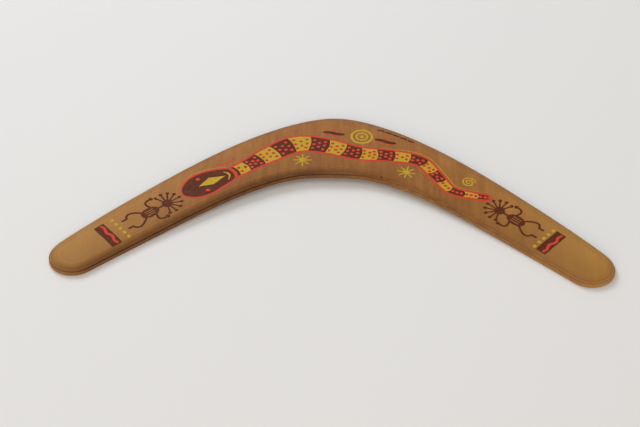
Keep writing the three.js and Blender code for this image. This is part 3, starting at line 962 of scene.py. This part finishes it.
def snakeHalfWidth(distance):
    if distance < snake["headLength"]:
        share = max(0, distance / snake["headLength"])
        swell = max(0, math.sin(math.pi * share**headLean)) ** headFullness
        neck = snake["neckWidth"] * share
        return (swell * (snake["headWidth"] - neck) + neck) / 2
    share = (distance - snake["headLength"]) / (snakeLength - snake["headLength"])
    part = min(1, share / grownShare)
    grown = part * part * (3 - 2 * part)
    thinned = max(0, (share - grownShare) / (1 - grownShare))
    width = (
        snake["neckWidth"]
        + (snake["bodyWidth"] - snake["neckWidth"]) * grown
        - (snake["bodyWidth"] - snake["tailWidth"]) * thinned
    )
    rounding = min(1, max(0, snakeLength - distance) / snake["tailRound"])
    return width / 2 * math.sqrt(1 - (1 - rounding) ** 2)


def snakePoint(distance, side, extra=0):
    share = min(snakeLength, distance + snake["bow"] * (1 - side * side)) / snakeLength
    tangent = headingOn(snakeLine, share)
    away = side * (snakeHalfWidth(distance) + extra)
    return pointOn(snakeLine, share) + flat(-tangent.y, tangent.x) * away


def onHead(share, side):
    return snakePoint(snake["headLength"] * share, side)


def besideSnake(share, side, gap):
    return snakePoint(share * snakeLength, side, snake["outline"] + gap)


def between(start, end, pitch):
    steps = max(2, round((end - start) / pitch))
    return [start + (end - start) * i / steps for i in range(steps + 1)]


def snakeStretch(start, end):  # a piece of the body between two bowed borders
    sides = [1 - i / 6 for i in range(13)]
    inside = between(start, end, snake["step"])[1:-1]
    first = [snakePoint(start, side) for side in sides[::-1]] if start > 0 else [pointOn(snakeLine, 0)]
    last = [snakePoint(end, side) for side in sides] if end < snakeLength else [pointOn(snakeLine, 1)]
    back = [snakePoint(distance, 1) for distance in inside]
    return first + back + last + [snakePoint(distance, -1) for distance in inside[::-1]]


def snakeLoop(extra):
    stations = between(0, snakeLength, snake["step"])[1:-1]
    nose = pointOn(snakeLine, 0) - headingOn(snakeLine, 0) * extra
    tail = pointOn(snakeLine, 1) + headingOn(snakeLine, 1) * extra
    back = [snakePoint(distance, 1, extra) for distance in stations]
    front = [snakePoint(distance, -1, extra) for distance in stations[::-1]]
    return [nose] + back + [tail] + front


def bandBorders():
    count = 2 * bandPairs
    grown = bandGrowth + [1] * (count - len(bandGrowth))
    lengths = [grown[i] * (1 + (bandShrink - 1) * i / (count - 1)) for i in range(count)]
    borders = [firstBand]
    for length in lengths:
        borders.append(borders[-1] + length / sum(lengths) * (snakeLength - firstBand))
    borders[-1] = snakeLength
    return borders


def bandDots(start, end):  # two or three columns of dots, fewer where the tail is thin
    length = end - start
    width = 2 * snakeHalfWidth((start + end) / 2)
    columns = dotColumns["long" if length > snake["longBand"] else "short"]
    if start == firstBand:
        columns = dotColumns["neck"]
    dots = []
    for place, spread in columns:
        rows = [-spread, 0, spread] if spread > fullSpread else [-spread, spread]
        if width < snake["slimmer"]:
            rows = [0]
        elif width < snake["slim"]:
            rows = slimRows if spread > fullSpread else [0]
        for side in rows:
            spot = snakePoint(start + place * length - snake["bow"] * dotBow, side * dotInset)
            stray = noise.noise_vector(spot / mm) * snake["dotStray"]
            dots.append(spot + flat(stray.x, stray.y))
    return dots


def buildHead():
    over = snake["overlap"]
    paintPiece(
        "snake_head_fine", [[snakeStretch(0, snake["headLength"])]], "brown_paint",
        coat=2, nodes=["snake_head"],
    )
    paintPiece(
        "neck_ring_red_fine", [[snakeStretch(snake["headLength"] - over, firstRing + over)]], "red_paint",
        coat=3, nodes=["neck_ring_red"],
    )
    paintPiece(
        "neck_ring_brown_fine", [[snakeStretch(firstRing, firstBand + over)]], "brown_paint",
        coat=2, nodes=["neck_ring_brown"],
    )


def buildBands():
    over = snake["overlap"]
    borders = bandBorders()
    for i, (start, end) in enumerate(zip(borders, borders[1:])):
        brown = i % 2 == 1
        node = ("brown_band_" if brown else "yellow_band_") + str(i // 2 + 1)
        spill = over if brown else 0
        body = snakeStretch(start - spill, min(snakeLength, end + spill))
        colour = "brown_paint" if brown else "yellow_paint"
        paintPiece(node + "_fine", [[body]], colour, coat=2 if brown else 1, nodes=[node])
        dots = [[ovalDot(dot, snake["dot"])] for dot in bandDots(start, end)]
        dotPaint = "red_on_brown" if brown else "red_on_yellow"
        paintPiece(node + "_dots", dots, dotPaint, coat=5)


def buildOutline():
    loops = [snakeLoop(snake["outline"]), snakeLoop(-snake["overlap"])]
    paintPiece("snake_outline_fine", [loops], "red_paint", coat=4, nodes=["snake_outline"])


def buildHeadMarks():
    lozenge = sidesOf([onHead(share, side) for share, side in headMarks["lozenge"]], 10)
    paintPiece("head_lozenge_fine", [[lozenge]], "yellow_paint", coat=4, nodes=["head_lozenge"])
    bow = bend(*(onHead(share, side) for share, side in headMarks["crescent"]))
    crescent = brushStroke(bow, snake["crescent"], tip=0.45)
    paintPiece("head_crescent_fine", [[crescent]], "yellow_paint", coat=4, nodes=["head_crescent"])
    for node in ("back_eye", "front_eye"):
        eye = ovalDot(onHead(*headMarks[node]), snake["eye"], roundSteps)
        paintPiece(node + "_fine", [[eye]], "red_paint", coat=4, nodes=[node])


def buildTrims():  # thin yellow lines just outside the outline, by the head and by the tail
    away = snake["outline"] + snake["trimGap"] + snake["trim"] / 2
    strokes = []
    for (start, end), length in zip(trimShares, (snake["headLength"], snakeLength)):
        stations = between(start * length, end * length, snake["step"])
        path = [snakePoint(distance, 1, away) for distance in stations]
        strokes.append([brushStroke(path, snake["trim"], tip=0.3)])
    paintPiece("yellow_trim", strokes, "yellow_paint")


# The marks beside the snake: each stands at a share of its length, a gap away from its outline.
target = inMillimetres({
    "gap": 3.2,
    "ring": 9.9,
    "ringStroke": 2,
    "innerRing": 5.5,
    "innerStroke": 1.6,
    "dot": 1.7,
})
targetShare = 0.5485
ringSteps = 96
targetCentre = besideSnake(targetShare, 1, target["gap"] + target["ring"])


def buildTarget():
    for node, radius, stroke in (
        ("target_outer_ring", target["ring"], target["ringStroke"]),
        ("target_inner_ring", target["innerRing"], target["innerStroke"]),
    ):
        loops = [disc(targetCentre, radius, ringSteps), disc(targetCentre, radius - stroke, ringSteps)]
        paintPiece(node + "_fine", [loops], "yellow_paint", nodes=[node])
    bull = ovalDot(targetCentre, target["dot"], roundSteps)
    paintPiece("target_dot_fine", [[bull]], "yellow_paint", nodes=["target_dot"])


star = inMillimetres({"leftGap": 1.4, "rightGap": 2.2, "reach": 8.75, "stroke": 1.4})
starShares = {"left": 0.366, "right": 0.715}
starTurns = {"left": 0, "right": 12}  # degrees
starRays = 8
rayThinning = 0.7  # a ray's width at its tip over that at its root
raySpread = (0.94, 0.06)  # its length over the reach, and how much that varies


def buildStar(side):  # the rays as one outline, each a little different in length
    centre = besideSnake(starShares[side], -1, star[side + "Gap"] + star["reach"])
    loop = []
    rootHalf = star["stroke"] / 2
    tipHalf = rayThinning * rootHalf
    notch = rootHalf / math.sin(math.pi / starRays)
    shares = [i / 4 for i in range(5)]
    for i in range(starRays):
        turn = starTurns[side] + 360 / starRays * i
        direction, across = heading(turn), heading(turn + 90)
        reach = star["reach"] * (raySpread[0] + raySpread[1] * noise.noise(direction * 3 + centre / mm))
        for flank, order in ((-1, shares), (1, shares[::-1])):
            for share in order:
                out = notch + (reach - tipHalf - notch) * share
                half = rootHalf + (tipHalf - rootHalf) * share
                if flank < 0 or share > 0:
                    loop.append(centre + direction * out + across * half * flank)
            if flank < 0:
                loop.append(centre + direction * reach)
    paintPiece(side + "_star_fine", [[loop]], "yellow_paint", nodes=[side + "_star"])


spiral = inMillimetres({"gap": 3.3, "reach": 6.8, "stroke": 1.4})
spiralShare = 0.93
spiralTurns = 2
spiralSteps = 120


def buildSpiral():
    centre = besideSnake(spiralShare, 1, spiral["gap"] + spiral["reach"])
    path = []
    for i in range(spiralSteps + 1):
        share = i / spiralSteps
        radius = spiral["stroke"] / 2 + (spiral["reach"] - spiral["stroke"]) * share
        path.append(centre + heading(360 * spiralTurns * share) * radius)
    coil = brushStroke(path, spiral["stroke"], tip=0.7)
    paintPiece("spiral_fine", [[coil]], "yellow_paint", nodes=["spiral"])


dash = inMillimetres({"leftGap": 4.6, "rightGap": 1.2, "length": 20, "stroke": 3.7, "sway": 0.5})
dashTurns = {"left": 9, "right": 16}  # degrees
dashSteps = 24


def dashCentre(side):
    away = target["ring"] + dash[side + "Gap"] + dash["length"] / 2
    return targetCentre + heading(dashTurns[side]) * armSigns[side] * away


def buildDash(side):
    centre = dashCentre(side)
    along, across = heading(dashTurns[side]), heading(dashTurns[side] - 90)
    path = []
    for i in range(dashSteps + 1):
        sway = dash["sway"] * math.sin(2 * math.pi * i / dashSteps)
        length = (dash["length"] - dash["stroke"]) * (i / dashSteps - 0.5)
        path.append(centre + along * length + across * sway)
    stroke = brushStroke(path, dash["stroke"], tip=0.8)
    paintPiece(side + "_dash_fine", [[stroke]], "brown_paint", nodes=[side + "_dash"])


# The smallest marks: dots by the head and the dashes, strokes along the right arm's back edge, a spot.
small = inMillimetres({
    "dot": 1.3,
    "headRowGap": 5.6,
    "dashAbove": 4,
    "dashBelow": 3.4,
    "rowPitch": 5.6,
    "stroke": 2.7,
    "strokeLength": 4.6,
    "spot": 1,
})
headRowShares = [0.138 + 0.0145 * i for i in range(5)]
strokePlaces = [(0.148 + 0.0265 * i, 0.78) for i in range(5)]
spotPlace = (0.175, -0.93)


def buildSmallMarks():
    headRow = [besideSnake(share, 1, small["headRowGap"]) for share in headRowShares]
    paintPiece("head_row", [[ovalDot(spot, small["dot"])] for spot in headRow], "red_paint")
    spots = []
    for side, turn in dashTurns.items():
        centre, along, away = dashCentre(side), heading(turn), heading(turn - 90)
        for places, height in (([-0.2, 0.8], small["dashAbove"]), ([-1, 0, 1], -small["dashBelow"])):
            spots += [centre + along * small["rowPitch"] * place + away * height for place in places]
    paintPiece("dash_rows", [[ovalDot(spot, small["dot"])] for spot in spots], "red_paint")
    half = small["strokeLength"] / 2
    frames = [armFrame(along, across) for along, across in strokePlaces]
    strokes = [brushStroke([at(-half, 0), at(half, 0)], small["stroke"], tip=0.8) for at in frames]
    paintPiece("edge_strokes", [[stroke] for stroke in strokes], "brown_paint")
    paintPiece("dark_spot", [[ovalDot(facePlace(*spotPlace), small["spot"])]], "brown_paint")


buildHead()
buildBands()
buildOutline()
buildHeadMarks()
buildTrims()
print("paint: the snake")
buildTarget()
buildStar("left")
buildStar("right")
buildSpiral()
buildDash("left")
buildDash("right")
print("paint: target, stars, spiral and dashes")
buildBlock("left")
buildBlock("right")
buildFigure("left")
buildFigure("right")
buildSmallMarks()
print("paint: blocks, figures and small marks")


studio = {
    "cameraAt": (0.0239, -1.0968, 1.0420),
    "lookAt": (-0.0109, -0.0183, 0),
    "lens": 101.25,
    "world": "fff6ee",
    "worldFront": 0.62,  # strength of the room behind the camera
    "worldBack": 0.12,
    "tableSize": 6,
    "table": "eceeee",
}
lamps = {  # where it stands, where it points, size, power, colour
    "key": ((-1.35, 1.7, 1.98), (0, 0, 0), 1.5, 37, "f4f9ff"),
    "window": ((-0.7, 2.9, 1.4), (0, 0, 0), 3, 22, "f4f9ff"),
    "fill": ((-0.1, -0.3, 2), (0, 0, 0), 1.6, 5, "f8fbff"),
    "front": ((-0.4, -3.6, 1.3), (0, 0, 0), 3, 70, "ffebd8"),
}


def aimed(place, target):
    return (Vector(target) - Vector(place)).to_track_quat("-Z", "Y").to_euler()


camera = bpy.data.objects.new("camera", bpy.data.cameras.new("camera"))
camera.location = studio["cameraAt"]
camera.rotation_euler = aimed(studio["cameraAt"], studio["lookAt"])
camera.data.lens = studio["lens"]
bpy.context.scene.collection.objects.link(camera)
bpy.context.scene.camera = camera

for name, (place, target, size, power, colour) in lamps.items():
    lamp = bpy.data.objects.new(name, bpy.data.lights.new(name, "AREA"))
    lamp.location = place
    lamp.rotation_euler = aimed(place, target)
    lamp.data.shape = "SQUARE"
    lamp.data.size = size
    lamp.data.energy = power
    lamp.data.color = linear(colour)[:3]
    lamp.visible_camera = False
    bpy.context.scene.collection.objects.link(lamp)

world = bpy.data.worlds.new("studio")
world.use_nodes = True
bpy.context.scene.world = world
direction = addNode(world, "ShaderNodeTexCoord", {}).outputs["Generated"]
depth = addNode(world, "ShaderNodeSeparateXYZ", {"Vector": direction}).outputs["Y"]
background = world.node_tree.nodes["Background"]
background.inputs["Color"].default_value = linear(studio["world"])
strength = addNode(
    world, "ShaderNodeMapRange",
    {"Value": depth, "From Min": -1, "To Min": studio["worldFront"], "To Max": studio["worldBack"]},
).outputs["Result"]
world.node_tree.links.new(strength, background.inputs["Strength"])

tableMaterial = newMaterial("table")
tableShader = addNode(
    tableMaterial, "ShaderNodeBsdfPrincipled", {"Base Color": linear(studio["table"]), "Roughness": 0.9}
)
addNode(tableMaterial, "ShaderNodeOutputMaterial", {"Surface": tableShader.outputs["BSDF"]})
tableMesh = bmesh.new()
bmesh.ops.create_grid(tableMesh, x_segments=1, y_segments=1, size=studio["tableSize"] / 2)
tableData = bpy.data.meshes.new("table")
tableMesh.to_mesh(tableData)
tableMesh.free()
tableData.materials.append(tableMaterial)
table = bpy.data.objects.new("table", tableData)
bpy.context.scene.collection.objects.link(table)
bpy.context.scene.view_settings.view_transform = "Standard"
print("studio: camera, lamps and table")

print("finished")
